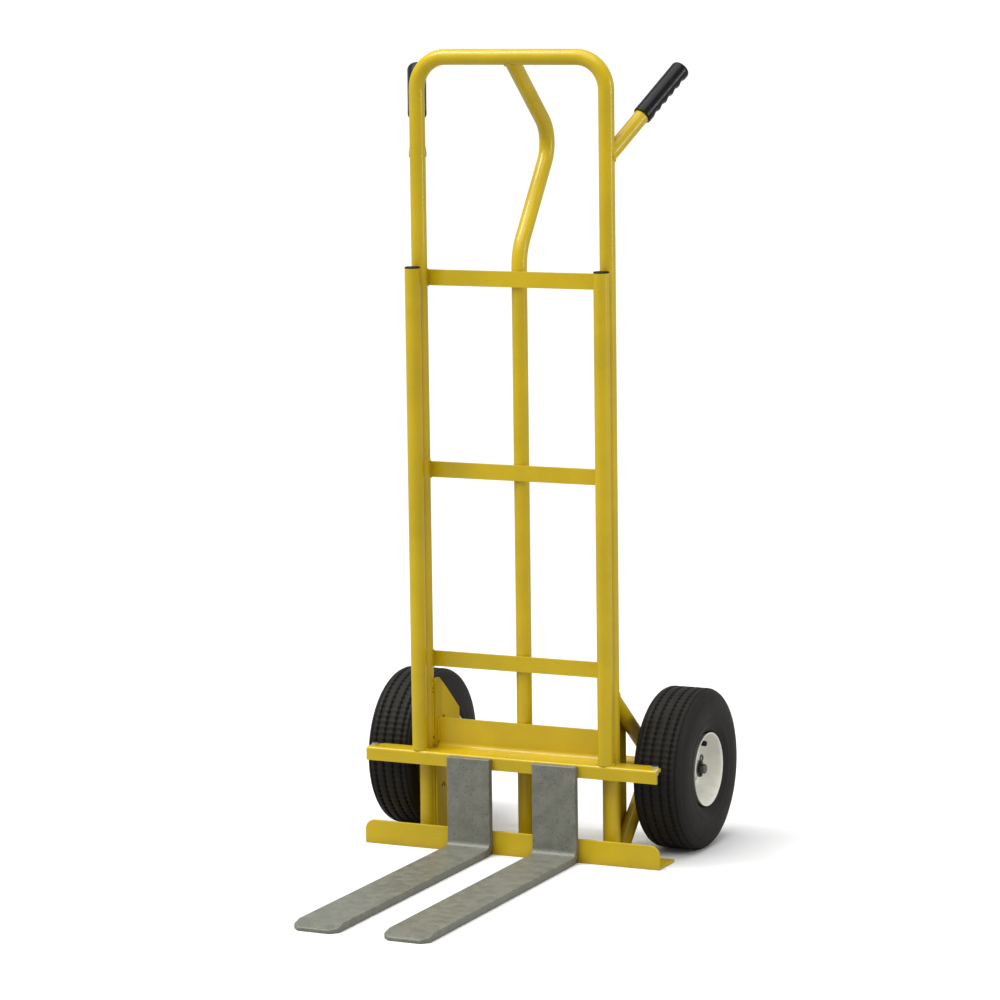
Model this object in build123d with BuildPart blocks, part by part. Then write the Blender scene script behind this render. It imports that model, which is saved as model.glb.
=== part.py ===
from build123d import *
import math
import os

os.makedirs("parts", exist_ok=True)

# Frame: X runs across the truck, with the right-hand wheel at +X;
# Y points to the rear, so the forks reach out along -Y; Z is up.
# The origin is on the floor, midway between the legs and in their plane.

# Driving dimensions, in millimetres.

# Round frame tube
tube_od = 25.4
tube_wall = 2.1
overall_height = 1295.4
leg_spacing = 330.2
loop_bend_radius = 51.0

# Lower angle, which stands on the floor
angle_thickness = 4.8
angle_upright = 39.0
angle_depth = 63.5
angle_length = 523.0
angle_corner_radius = 16.0

# Carriage shelf: lip, web and upstand
sheet_thickness = 4.8
shelf_top = 161.0
lip_height = 22.0
upstand_height = 48.0
upstand_bend_radius = 9.0
shelf_length = 515.0
wing_setback = 3.1
wing_chamfer = 16.0

# Front tubes and crossbars
front_tube_top = 947.0
plug_cap_thickness = 2.5
plug_barrel_length = 16.0
bar_height = 25.4
bar_thickness = 4.8
bar_cope = 4.0
lower_bar_z = 307.0
bar_pitch = 311.5

# Centre tube
centre_tube_slack = 0.4
centre_tube_wall = 2.1
centre_lower_bend_z = 973.0
centre_knee_y = 155.5
centre_knee_z = 1149.0
centre_lower_bend_radius = 76.0
centre_knee_radius = 50.0
centre_end_setback = 3.0

# Side handles and grips
handle_slack = 0.8
handle_join_z = 1125.3
handle_reach_x = 67.9
handle_reach_y = 138.0
handle_rise = 132.7
handle_wall = 2.1
grip_length = 112.0
grip_od = 31.0
grip_end_wall = 5.0
grip_groove_count = 5
grip_groove_pitch = 18.5
grip_groove_radius = 11.0
grip_groove_depth = 2.6
grip_end_fillet = 5.0
grip_mouth_fillet = 1.5

# Side plates, on the inner face of each leg
plate_thickness = 4.8
plate_rear_y = 87.0
plate_foot_z = 58.0
plate_shoulder_z = 212.0
plate_slope_y = 40.0
plate_slope_z = 254.0
plate_peak_y = 14.0
plate_peak_z = 275.0
plate_corner_radius = 7.0
plate_small_hole = 7.0
plate_small_hole_y = 28.0
plate_small_hole_z = 207.0
plate_large_hole = 13.0
plate_large_hole_y = 24.6
plate_large_hole_z = 92.5

# Axle and its struts
tyre_shelf_gap = 3.6
axle_diameter = 15.9
axle_tube_od = 22.2
strut_slack = 1.4
strut_wall = 2.1
strut_apex_setback = 35.0
strut_apex_lift = 1.5
upper_strut_z = 268.5
lower_strut_foot_y = 28.3
washer_od = 28.0
washer_thickness = 1.5
axle_tail = 7.1
cotter_diameter = 3.0
cotter_length = 25.0
cotter_eye_radius = 5.0

# Wheels
tyre_radius = 131.5
tyre_half_width = 44.0
wheel_x = 238.0
crown_drop = 0.8
rib_groove_width = 3.0
rib_groove_depth = 3.5
inner_groove_x = 8.0
outer_groove_x = 23.0
rim_thickness = 2.0
rim_seat_radius = 49.5
rim_flange_radius = 60.0
rim_flange_x = 35.5
rim_disc_radius = 40.0
rim_slope_x = 8.0
rim_curl = 3.5
bead_clearance = 0.3
hub_od = 29.0
hub_inner_reach = 38.6
hub_outer_reach = 24.0
bearing_od = 24.0
bearing_length = 11.0
bearing_clearance = 0.05
hub_end_gap = 0.4
tube_section_radius = 32.5
tube_section_half_width = 31.0
tube_section_wall = 2.2
rim_bolt_count = 4
rim_bolt_circle = 60.0
rim_bolt_diameter = 8.0
rim_bolt_flats = 13.0
rim_bolt_head = 5.3
rim_nut_height = 6.5
rim_bolt_tail = 3.0
valve_diameter = 7.0
valve_radius = 42.0
valve_length = 28.0
valve_bend_radius = 4.0
valve_root_gap = 0.2
valve_cap_diameter = 8.6
valve_cap_length = 8.0

# Forks and their hooks
fork_width = 76.2
fork_thickness = 12.7
fork_length = 551.0
fork_top_drop = 2.5
fork_inner_bend = 9.5
fork_left_x = -67.5
fork_right_x = 84.0
fork_tip_thickness = 6.0
fork_tip_ramp = 26.0
fork_tip_chamfer = 11.0
fork_gap = 0.4
hook_width = 50.0
hook_play = 0.5
hook_plate = 7.5
upper_hook_thickness = 9.5
upper_hook_drop = 11.0
lower_hook_thickness = 7.0
lower_hook_bottom = 18.0

# Stop bolts through the ends of the shelf
stop_bolt_x = 249.0
stop_bolt_inset = 15.1
stop_bolt_diameter = 6.0
stop_bolt_flats = 10.0
stop_bolt_head = 4.0
stop_bolt_length = 20.0
stop_nut_height = 5.0

# Values worked out from those above
tube_radius = tube_od / 2
centre_tube_od = tube_od - centre_tube_slack
handle_od = tube_od - handle_slack
strut_od = tube_od - strut_slack
leg_x = leg_spacing / 2
loop_top_z = overall_height - tube_radius
front_tube_y = -tube_od
face_y = front_tube_y - tube_radius
centre_tube_y = tube_radius + centre_tube_od / 2
bar_rear_y = tube_radius
lip_bottom = shelf_top - lip_height
lip_back_y = face_y + sheet_thickness
web_bottom = shelf_top - sheet_thickness
angle_back_y = face_y + angle_thickness
plate_outer_x = leg_x - tube_radius
plate_inner_x = plate_outer_x - plate_thickness
wing_rear_y = -wing_setback
axle_y = wing_rear_y + tyre_radius + tyre_shelf_gap
axle_z = tyre_radius
stop_bolt_y = face_y + stop_bolt_inset
strut_apex_y = axle_y + strut_apex_setback
strut_apex_z = axle_z + strut_apex_lift
fork_top = shelf_top - fork_top_drop
upper_hook_top = shelf_top - upper_hook_drop
axle_radius = axle_diameter / 2
hub_inner_x = wheel_x - hub_inner_reach
hub_outer_x = wheel_x + hub_outer_reach
outer_washer_x = hub_outer_x + hub_end_gap
cotter_x = outer_washer_x + washer_thickness + cotter_diameter / 2
axle_tube_end = hub_inner_x - hub_end_gap - washer_thickness
axle_end = cotter_x + axle_tail
sides = {"left": -1, "right": 1}


def save(piece, name):
    """Label a finished part and write it as its own STEP file."""
    piece.part.label = name
    export_step(piece.part, f"parts/{name}.step")


# Loop handle: one bent tube, whose legs run down to the lower angle.
with BuildPart() as loop_handle:
    with BuildLine(Plane.XZ):
        FilletPolyline(
            (-leg_x, angle_thickness),
            (-leg_x, loop_top_z),
            (leg_x, loop_top_z),
            (leg_x, angle_thickness),
            radius=loop_bend_radius,
        )
    with BuildSketch(Plane.XY.offset(angle_thickness)):
        with Locations((-leg_x, 0)):
            Circle(tube_radius)
            Circle(tube_radius - tube_wall, mode=Mode.SUBTRACT)
    sweep()
save(loop_handle, "loop_handle")

# Front tubes stand on the shelf against the legs; black plugs close their tops.
for side, sign in sides.items():
    with BuildPart() as front_tube:
        with BuildSketch(Plane.XY.offset(shelf_top)):
            with Locations((sign * leg_x, front_tube_y)):
                Circle(tube_radius)
                Circle(tube_radius - tube_wall, mode=Mode.SUBTRACT)
        extrude(amount=front_tube_top - shelf_top)
    save(front_tube, f"front_tube_{side}")

    with BuildPart() as tube_plug:
        with BuildSketch(Plane.XY.offset(front_tube_top)):
            with Locations((sign * leg_x, front_tube_y)):
                Circle(tube_radius)
        extrude(amount=plug_cap_thickness)
        chamfer(tube_plug.edges().group_by(Axis.Z)[-1], 0.8)
        with BuildSketch(Plane.XY.offset(front_tube_top)):
            with Locations((sign * leg_x, front_tube_y)):
                Circle(tube_radius - tube_wall)
        extrude(amount=-plug_barrel_length)
    save(tube_plug, f"tube_plug_{side}")

# Crossbars: flat bars coped round the legs.
for step, name in enumerate(("crossbar_lower", "crossbar_middle", "crossbar_top")):
    bar_z = lower_bar_z + step * bar_pitch
    with BuildPart() as crossbar:
        with Locations((0, bar_rear_y - bar_thickness / 2, bar_z)):
            Box(2 * (leg_x - bar_cope), bar_thickness, bar_height)
        with Locations((-leg_x, 0, bar_z), (leg_x, 0, bar_z)):
            Cylinder(tube_radius, 2 * bar_height, mode=Mode.SUBTRACT)
    save(crossbar, name)

# Centre tube: straight behind the crossbars, then back and up to the loop.
knee_run_y = -centre_knee_y
knee_run_z = loop_top_z - centre_knee_z
knee_run = math.hypot(knee_run_y, knee_run_z)
centre_end_y = -knee_run_y / knee_run * centre_end_setback
centre_end_z = loop_top_z - knee_run_z / knee_run * centre_end_setback
with BuildPart() as centre_tube:
    with BuildLine(Plane.YZ) as centre_path:
        Polyline(
            (centre_tube_y, angle_thickness),
            (centre_tube_y, centre_lower_bend_z),
            (centre_knee_y, centre_knee_z),
            (centre_end_y, centre_end_z),
        )
        knee = centre_path.vertices().sort_by(Axis.Y)[-1]
        fillet(knee, centre_knee_radius)
        bend = [v for v in centre_path.vertices() if abs(v.Z - centre_lower_bend_z) < 1.0]
        fillet(bend, centre_lower_bend_radius)
    with BuildSketch(Plane.XY.offset(angle_thickness)):
        with Locations((0, centre_tube_y)):
            Circle(centre_tube_od / 2)
            Circle(centre_tube_od / 2 - centre_tube_wall, mode=Mode.SUBTRACT)
    sweep()
    with Locations((0, 0, loop_top_z)):
        Cylinder(tube_radius, 4 * tube_od, rotation=(0, 90, 0), mode=Mode.SUBTRACT)
save(centre_tube, "centre_tube")

# Side handles: a tube from each leg up, back and outwards, under a finger grip.
handle_length = math.sqrt(handle_reach_x**2 + handle_reach_y**2 + handle_rise**2)
grip_start = handle_length - grip_length + grip_end_wall
for side, sign in sides.items():
    handle_root = Vector(sign * leg_x, 0, handle_join_z)
    handle_dir = Vector(sign * handle_reach_x, handle_reach_y, handle_rise).normalized()
    underside = (handle_dir * handle_dir.Z - Vector(0, 0, 1)).normalized()
    handle_plane = Plane(origin=handle_root, x_dir=underside, z_dir=handle_dir)
    with BuildPart() as side_handle:
        with BuildSketch(handle_plane.offset(centre_end_setback)):
            Circle(handle_od / 2)
            Circle(handle_od / 2 - handle_wall, mode=Mode.SUBTRACT)
        extrude(amount=handle_length - centre_end_setback)
        with Locations(handle_root):
            Cylinder(tube_radius, 6 * tube_od, mode=Mode.SUBTRACT)
    save(side_handle, f"side_handle_{side}")

    groove_x = grip_od / 2 + grip_groove_radius - grip_groove_depth
    groove_start = (grip_length - (grip_groove_count - 1) * grip_groove_pitch) / 2
    with BuildPart() as grip:
        with BuildSketch(handle_plane.offset(grip_start)):
            Circle(grip_od / 2)
        extrude(amount=grip_length)
        ends = grip.edges().filter_by(GeomType.CIRCLE).sort_by(Axis(handle_root, handle_dir))
        fillet(ends[-1], grip_end_fillet)
        fillet(ends[0], grip_mouth_fillet)
        for groove in range(grip_groove_count):
            height = grip_start + groove_start + groove * grip_groove_pitch
            side_plane = Plane(
                origin=handle_root + handle_dir * height,
                x_dir=underside,
                z_dir=handle_dir.cross(underside),
            )
            with BuildSketch(side_plane):
                with Locations((groove_x, 0)):
                    Circle(grip_groove_radius)
            extrude(amount=grip_od, both=True, mode=Mode.SUBTRACT)
        with BuildSketch(handle_plane.offset(grip_start)):
            Circle(handle_od / 2)
        extrude(amount=grip_length - grip_end_wall, mode=Mode.SUBTRACT)
    save(grip, f"grip_{side}")

# Carriage shelf: a lip in front, a web with wings beyond the legs, and an
# upstand between the side plates.
with BuildPart() as carriage_shelf:
    with BuildSketch(Plane.YZ):
        with BuildLine():
            Polyline(
                (face_y, lip_bottom),
                (lip_back_y, lip_bottom),
                (lip_back_y, web_bottom),
                (wing_rear_y, web_bottom),
                (wing_rear_y, shelf_top),
                (face_y, shelf_top),
                close=True,
            )
        make_face()
    extrude(amount=shelf_length / 2, both=True)
    wing_corners = [
        e
        for e in carriage_shelf.edges().filter_by(Axis.Z)
        if abs(e.center().Y - wing_rear_y) < 0.1
    ]
    chamfer(wing_corners, wing_chamfer)
    with Locations((0, wing_rear_y, shelf_top)):
        Box(
            2 * plate_inner_x,
            bar_rear_y - wing_rear_y,
            sheet_thickness,
            align=(Align.CENTER, Align.MIN, Align.MAX),
        )
    with Locations((0, bar_rear_y, web_bottom)):
        Box(
            2 * plate_inner_x,
            sheet_thickness,
            sheet_thickness + upstand_height,
            align=(Align.CENTER, Align.MAX, Align.MIN),
        )
    front_edge = carriage_shelf.edges().filter_by(Axis.X).group_by(Axis.Y)[0].sort_by(Axis.Z)[-1]
    fillet(front_edge, sheet_thickness * 0.9)
    inner_fold = [
        e
        for e in carriage_shelf.edges().filter_by(Axis.X)
        if abs(e.center().Z - shelf_top) < 0.1
        and abs(e.center().Y - bar_rear_y + sheet_thickness) < 0.1
        and abs(e.center().X) < 1.0
    ]
    fillet(inner_fold, upstand_bend_radius)
    with Locations((-leg_x, 0, shelf_top), (leg_x, 0, shelf_top)):
        Cylinder(tube_radius, 4 * sheet_thickness, mode=Mode.SUBTRACT)
    with Locations((-stop_bolt_x, stop_bolt_y, shelf_top), (stop_bolt_x, stop_bolt_y, shelf_top)):
        Cylinder(stop_bolt_diameter / 2, 4 * sheet_thickness, mode=Mode.SUBTRACT)
save(carriage_shelf, "carriage_shelf")

# Lower angle: its upright flange in front, its long flange flat on the floor.
with BuildPart() as lower_angle:
    with BuildSketch(Plane.YZ):
        with BuildLine():
            Polyline(
                (face_y, 0),
                (face_y + angle_depth, 0),
                (face_y + angle_depth, angle_thickness),
                (angle_back_y, angle_thickness),
                (angle_back_y, angle_upright),
                (face_y, angle_upright),
                close=True,
            )
        make_face()
    extrude(amount=angle_length / 2, both=True)
    corners = lower_angle.edges().filter_by(Axis.Y).group_by(Axis.Z)[-1]
    fillet(corners, angle_corner_radius)
save(lower_angle, "lower_angle")

# Side plates tie each leg, the shelf and the lower angle together.
for side, sign in sides.items():
    outer_face = sign * plate_outer_x
    with BuildPart() as side_plate:
        with BuildSketch(Plane.YZ.offset(outer_face)):
            with BuildLine():
                Polyline(
                    (0, angle_thickness),
                    (face_y + angle_depth, angle_thickness),
                    (plate_rear_y, plate_foot_z),
                    (plate_rear_y, plate_shoulder_z),
                    (plate_slope_y, plate_slope_z),
                    (plate_peak_y, plate_peak_z),
                    (0, plate_peak_z),
                    close=True,
                )
            make_face()
            with Locations((plate_small_hole_y, plate_small_hole_z)):
                Circle(plate_small_hole / 2, mode=Mode.SUBTRACT)
            with Locations((plate_large_hole_y, plate_large_hole_z)):
                Circle(plate_large_hole / 2, mode=Mode.SUBTRACT)
        extrude(amount=-sign * plate_thickness)
        top_corners = side_plate.edges().filter_by(Axis.X).group_by(Axis.Z)[-1]
        fillet(top_corners, plate_corner_radius)
    save(side_plate, f"side_plate_{side}")

# Struts: two tubes behind each leg that meet behind the axle tube.
strut_rise = upper_strut_z - strut_apex_z
lower_run_y = strut_apex_y - lower_strut_foot_y
lower_run_z = strut_apex_z - angle_thickness
for side, sign in sides.items():
    upper_dir = Vector(0, strut_apex_y, -strut_rise).normalized()
    upper_length = math.hypot(strut_apex_y, strut_rise)
    upper_plane = Plane(
        origin=(sign * leg_x, 0, upper_strut_z), x_dir=(1, 0, 0), z_dir=upper_dir
    )
    with BuildPart() as upper_strut:
        with BuildSketch(upper_plane):
            Circle(strut_od / 2)
            Circle(strut_od / 2 - strut_wall, mode=Mode.SUBTRACT)
        extrude(amount=upper_length + tube_od)
        split(bisect_by=Plane.XY.offset(strut_apex_z), keep=Keep.TOP)
        with BuildSketch(Plane.XY.offset(strut_apex_z)):
            with Locations((sign * leg_x, 0)):
                Circle(tube_radius)
        extrude(amount=2 * strut_rise, mode=Mode.SUBTRACT)
        with Locations((sign * leg_x, axle_y, axle_z)):
            Cylinder(axle_tube_od / 2, 2 * tube_od, rotation=(0, 90, 0), mode=Mode.SUBTRACT)
    save(upper_strut, f"upper_strut_{side}")

    lower_dir = Vector(0, -lower_run_y, -lower_run_z).normalized()
    lower_length = math.hypot(lower_run_y, lower_run_z)
    lower_plane = Plane(
        origin=(sign * leg_x, strut_apex_y, strut_apex_z), x_dir=(1, 0, 0), z_dir=lower_dir
    )
    with BuildPart() as lower_strut:
        with BuildSketch(lower_plane.offset(-tube_od)):
            Circle(strut_od / 2)
            Circle(strut_od / 2 - strut_wall, mode=Mode.SUBTRACT)
        extrude(amount=lower_length + 2 * tube_od)
        split(bisect_by=Plane.XY.offset(strut_apex_z), keep=Keep.BOTTOM)
        split(bisect_by=Plane.XY.offset(angle_thickness), keep=Keep.TOP)
        with Locations((sign * leg_x, 0, angle_upright)):
            Cylinder(tube_radius, 4 * tube_od, mode=Mode.SUBTRACT)
        with Locations((sign * leg_x, axle_y, axle_z)):
            Cylinder(axle_tube_od / 2, 2 * tube_od, rotation=(0, 90, 0), mode=Mode.SUBTRACT)
    save(lower_strut, f"lower_strut_{side}")

# Axle: a rod held in a tube, with washers and cotters outside the hubs.
axle_plane = Plane(origin=(0, axle_y, axle_z), x_dir=(0, 1, 0), z_dir=(1, 0, 0))
with BuildPart() as axle_tube:
    with BuildSketch(axle_plane):
        Circle(axle_tube_od / 2)
        Circle(axle_radius, mode=Mode.SUBTRACT)
    extrude(amount=axle_tube_end, both=True)
save(axle_tube, "axle_tube")

with BuildPart() as axle_rod:
    with BuildSketch(axle_plane):
        Circle(axle_radius)
    extrude(amount=axle_end, both=True)
    chamfer(axle_rod.edges().filter_by(GeomType.CIRCLE), 1.0)
    with Locations((-cotter_x, axle_y, axle_z), (cotter_x, axle_y, axle_z)):
        Cylinder(cotter_diameter / 2, 2 * axle_diameter, mode=Mode.SUBTRACT)
save(axle_rod, "axle_rod")

with BuildPart() as axle_washers:
    for start in (axle_tube_end, outer_washer_x):
        for sign in sides.values():
            with BuildSketch(axle_plane.offset(sign * start)):
                Circle(washer_od / 2)
                Circle(axle_radius, mode=Mode.SUBTRACT)
            extrude(amount=sign * washer_thickness)
save(axle_washers, "axle_washers")

cotter_top = axle_z + cotter_length / 2
with BuildPart() as axle_cotters:
    for sign in sides.values():
        with Locations((sign * cotter_x, axle_y, axle_z)):
            Cylinder(cotter_diameter / 2, cotter_length)
        with Locations((sign * cotter_x, axle_y, cotter_top + cotter_eye_radius)):
            Torus(cotter_eye_radius, cotter_diameter / 2, rotation=(0, 90, 0))
save(axle_cotters, "axle_cotters")

# Wheels: each is drawn as radius against distance outwards from its centre plane.
half = tyre_half_width
for side, sign in sides.items():
    hub_centre = Vector(sign * wheel_x, axle_y, axle_z)
    section = Plane(origin=hub_centre, x_dir=(0, 0, 1), z_dir=(0, sign, 0))
    spin_axis = Axis(hub_centre, Vector(sign, 0, 0))
    disc_plane = Plane(origin=hub_centre, x_dir=(0, 0, 1), z_dir=(sign, 0, 0))
    shoulder_r = tyre_radius - 15.0
    crown_x = half - 18.0
    lobe_r = (rim_flange_radius + shoulder_r) / 2
    bead_x = rim_flange_x - bead_clearance

    with BuildPart() as tyre:
        with BuildSketch(section):
            with BuildLine():
                Line((rim_seat_radius, bead_x - 9), (rim_seat_radius, bead_x))
                Line((rim_seat_radius, bead_x), (rim_flange_radius + 1, bead_x))
                ThreePointArc(
                    (rim_flange_radius + 1, bead_x), (lobe_r, half), (shoulder_r, half - 3)
                )
                ThreePointArc(
                    (shoulder_r, half - 3),
                    (tyre_radius - 4.8, half - 9),
                    (tyre_radius - crown_drop, crown_x),
                )
                Line((tyre_radius - crown_drop, crown_x), (tyre_radius, 0))
                Line((tyre_radius, 0), (tyre_radius - 10, 0))
                Line((tyre_radius - 10, 0), (tyre_radius - 10.5, crown_x - 5))
                ThreePointArc(
                    (tyre_radius - 10.5, crown_x - 5),
                    (tyre_radius - 14, half - 14),
                    (shoulder_r - 5, half - 10),
                )
                ThreePointArc(
                    (shoulder_r - 5, half - 10),
                    (lobe_r, half - 6.5),
                    (rim_seat_radius + 8, bead_x - 9),
                )
                Line((rim_seat_radius + 8, bead_x - 9), (rim_seat_radius, bead_x - 9))
            make_face()
            mirror(about=Plane.XZ)
            groove_r = tyre_radius - rib_groove_depth / 2 + 1
            groove_at = (-outer_groove_x, -inner_groove_x, inner_groove_x, outer_groove_x)
            with Locations(*[(groove_r, x) for x in groove_at]):
                Rectangle(rib_groove_depth + 2, rib_groove_width, mode=Mode.SUBTRACT)
        revolve(axis=spin_axis)
    save(tyre, f"tyre_{side}")

    with BuildPart() as inner_tube:
        with BuildSketch(section):
            with Locations((lobe_r, 0)):
                Ellipse(tube_section_radius, tube_section_half_width)
                Ellipse(
                    tube_section_radius - tube_section_wall,
                    tube_section_half_width - tube_section_wall,
                    mode=Mode.SUBTRACT,
                )
        revolve(axis=spin_axis)
    save(inner_tube, f"inner_tube_{side}")

    # Valve: out of the inner tube, then along the axle into the dish.
    valve_root = lobe_r - tube_section_radius - valve_root_gap
    with BuildPart() as valve_stem:
        with BuildLine(section):
            FilletPolyline(
                (valve_root, 0), (valve_radius, 0), (valve_radius, valve_length),
                radius=valve_bend_radius,
            )
        root_point = hub_centre + Vector(0, 0, valve_root)
        with BuildSketch(Plane(origin=root_point, z_dir=(0, 0, -1))):
            Circle(valve_diameter / 2)
        sweep()
    save(valve_stem, f"valve_stem_{side}")

    with BuildPart() as valve_cap:
        with BuildSketch(disc_plane.offset(valve_length)):
            with Locations((valve_radius, 0)):
                Circle(valve_cap_diameter / 2)
        extrude(amount=valve_cap_length)
        chamfer(valve_cap.edges().filter_by(GeomType.CIRCLE), 0.8)
    save(valve_cap, f"valve_cap_{side}")

    # Rim halves: pressed dishes bolted back to back, outer (+) and inner (-).
    seat_inner = rim_seat_radius - rim_thickness
    for half_name, facing in (("outer", 1), ("inner", -1)):
        with BuildPart() as rim:
            with BuildSketch(section):
                with BuildLine():
                    Polyline(
                        (hub_od / 2, 0),
                        (rim_disc_radius, 0),
                        (rim_seat_radius, facing * rim_slope_x),
                        (rim_seat_radius, facing * rim_flange_x),
                        (rim_flange_radius - rim_thickness, facing * rim_flange_x),
                        (rim_flange_radius, facing * (rim_flange_x + rim_thickness)),
                        (rim_flange_radius, facing * (rim_flange_x + rim_thickness + rim_curl)),
                        (
                            rim_flange_radius - rim_thickness,
                            facing * (rim_flange_x + rim_thickness + rim_curl),
                        ),
                        (
                            rim_flange_radius - 2 * rim_thickness,
                            facing * (rim_flange_x + rim_thickness),
                        ),
                        (seat_inner, facing * (rim_flange_x + rim_thickness)),
                        (seat_inner, facing * (rim_slope_x + rim_thickness / 2)),
                        (rim_disc_radius - rim_thickness / 2, facing * rim_thickness),
                        (hub_od / 2, facing * rim_thickness),
                        close=True,
                    )
                make_face()
            revolve(axis=spin_axis)
            with BuildSketch(disc_plane):
                with PolarLocations(rim_bolt_circle / 2, rim_bolt_count, start_angle=45):
                    Circle(rim_bolt_diameter / 2)
            extrude(amount=4 * rim_thickness, both=True, mode=Mode.SUBTRACT)
            add(valve_stem.part, mode=Mode.SUBTRACT)
        save(rim, f"rim_{half_name}_{side}")

    with BuildPart() as hub:
        with BuildSketch(disc_plane.offset(-hub_inner_reach)):
            Circle(hub_od / 2)
            Circle(bearing_od / 2, mode=Mode.SUBTRACT)
        extrude(amount=hub_inner_reach + hub_outer_reach)
    save(hub, f"hub_{side}")

    with BuildPart() as bearings:
        for start in (-hub_inner_reach, hub_outer_reach - bearing_length):
            with BuildSketch(disc_plane.offset(start)):
                Circle(bearing_od / 2)
                Circle(axle_radius + bearing_clearance, mode=Mode.SUBTRACT)
            extrude(amount=bearing_length)
    save(bearings, f"bearings_{side}")

    with BuildPart() as rim_bolts:
        with BuildSketch(disc_plane.offset(rim_thickness)):
            with PolarLocations(rim_bolt_circle / 2, rim_bolt_count, start_angle=45):
                RegularPolygon(rim_bolt_flats / 2, 6, major_radius=False)
        extrude(amount=rim_bolt_head)
        with BuildSketch(disc_plane.offset(rim_thickness)):
            with PolarLocations(rim_bolt_circle / 2, rim_bolt_count, start_angle=45):
                Circle(rim_bolt_diameter / 2)
        extrude(amount=-(2 * rim_thickness + rim_nut_height + rim_bolt_tail))
    save(rim_bolts, f"rim_bolts_{side}")

    with BuildPart() as rim_nuts:
        with BuildSketch(disc_plane.offset(-rim_thickness)):
            with PolarLocations(rim_bolt_circle / 2, rim_bolt_count, start_angle=45):
                RegularPolygon(rim_bolt_flats / 2, 6, major_radius=False)
                Circle(rim_bolt_diameter / 2, mode=Mode.SUBTRACT)
        extrude(amount=-rim_nut_height)
    save(rim_nuts, f"rim_nuts_{side}")

# Stop bolts keep the fork hooks from sliding off the ends of the shelf.
stop_places = [(-stop_bolt_x, stop_bolt_y), (stop_bolt_x, stop_bolt_y)]
with BuildPart() as stop_bolts:
    with BuildSketch(Plane.XY.offset(shelf_top)):
        with Locations(*stop_places):
            RegularPolygon(stop_bolt_flats / 2, 6, major_radius=False)
    extrude(amount=stop_bolt_head)
    with BuildSketch(Plane.XY.offset(shelf_top)):
        with Locations(*stop_places):
            Circle(stop_bolt_diameter / 2)
    extrude(amount=-stop_bolt_length)
save(stop_bolts, "stop_bolts")

with BuildPart() as stop_nuts:
    with BuildSketch(Plane.XY.offset(web_bottom)):
        with Locations(*stop_places):
            RegularPolygon(stop_bolt_flats / 2, 6, major_radius=False)
            Circle(stop_bolt_diameter / 2, mode=Mode.SUBTRACT)
    extrude(amount=-stop_nut_height)
save(stop_nuts, "stop_nuts")

# Forks: flat bar bent to an L, hung on the shelf's lip and the lower angle.
fork_back_y = face_y - fork_gap
fork_front_y = fork_back_y - fork_thickness
fork_tip_y = fork_back_y - fork_length
for side, fork_x in (("left", fork_left_x), ("right", fork_right_x)):
    with BuildPart() as fork:
        with BuildSketch(Plane.YZ.offset(fork_x)):
            with BuildLine():
                Polyline(
                    (fork_back_y, fork_top),
                    (fork_back_y, 0),
                    (fork_tip_y, 0),
                    (fork_tip_y, fork_tip_thickness),
                    (fork_tip_y + fork_tip_ramp, fork_thickness),
                    (fork_front_y, fork_thickness),
                    (fork_front_y, fork_top),
                    close=True,
                )
            make_face()
        extrude(amount=fork_width / 2, both=True)
        long_edges = fork.edges().filter_by(Axis.X)
        inner = [
            e for e in long_edges
            if abs(e.center().Y - fork_front_y) < 0.1
            and abs(e.center().Z - fork_thickness) < 0.1
        ]
        outer = [
            e for e in long_edges
            if abs(e.center().Y - fork_back_y) < 0.1 and abs(e.center().Z) < 0.1
        ]
        fillet(inner, fork_inner_bend)
        fillet(outer, fork_inner_bend + fork_thickness)
        tip_corners = fork.edges().filter_by(Axis.Z).group_by(Axis.Y)[0]
        chamfer(tip_corners, fork_tip_chamfer)
    save(fork, f"fork_{side}")

    with BuildPart() as upper_hook:
        with BuildSketch(Plane.YZ.offset(fork_x)):
            with BuildLine():
                Polyline(
                    (fork_back_y, lip_bottom - hook_play - hook_plate),
                    (
                        lip_back_y + hook_play + upper_hook_thickness,
                        lip_bottom - hook_play - hook_plate,
                    ),
                    (lip_back_y + hook_play + upper_hook_thickness, upper_hook_top),
                    (lip_back_y + hook_play, upper_hook_top),
                    (lip_back_y + hook_play, lip_bottom - hook_play),
                    (fork_back_y, lip_bottom - hook_play),
                    close=True,
                )
            make_face()
        extrude(amount=hook_width / 2, both=True)
    save(upper_hook, f"upper_hook_{side}")

    with BuildPart() as lower_hook:
        with BuildSketch(Plane.YZ.offset(fork_x)):
            with BuildLine():
                Polyline(
                    (fork_back_y, angle_upright + hook_play),
                    (angle_back_y + hook_play, angle_upright + hook_play),
                    (angle_back_y + hook_play, lower_hook_bottom),
                    (angle_back_y + hook_play + lower_hook_thickness, lower_hook_bottom),
                    (
                        angle_back_y + hook_play + lower_hook_thickness,
                        angle_upright + hook_play + hook_plate,
                    ),
                    (fork_back_y, angle_upright + hook_play + hook_plate),
                    close=True,
                )
            make_face()
        extrude(amount=hook_width / 2, both=True)
    save(lower_hook, f"lower_hook_{side}")
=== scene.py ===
import math

import bmesh
import bpy
from bpy.props import FloatProperty, FloatVectorProperty, IntProperty, PointerProperty
from bpy.types import Operator, Panel, PropertyGroup
from mathutils import Matrix, Vector


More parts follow.
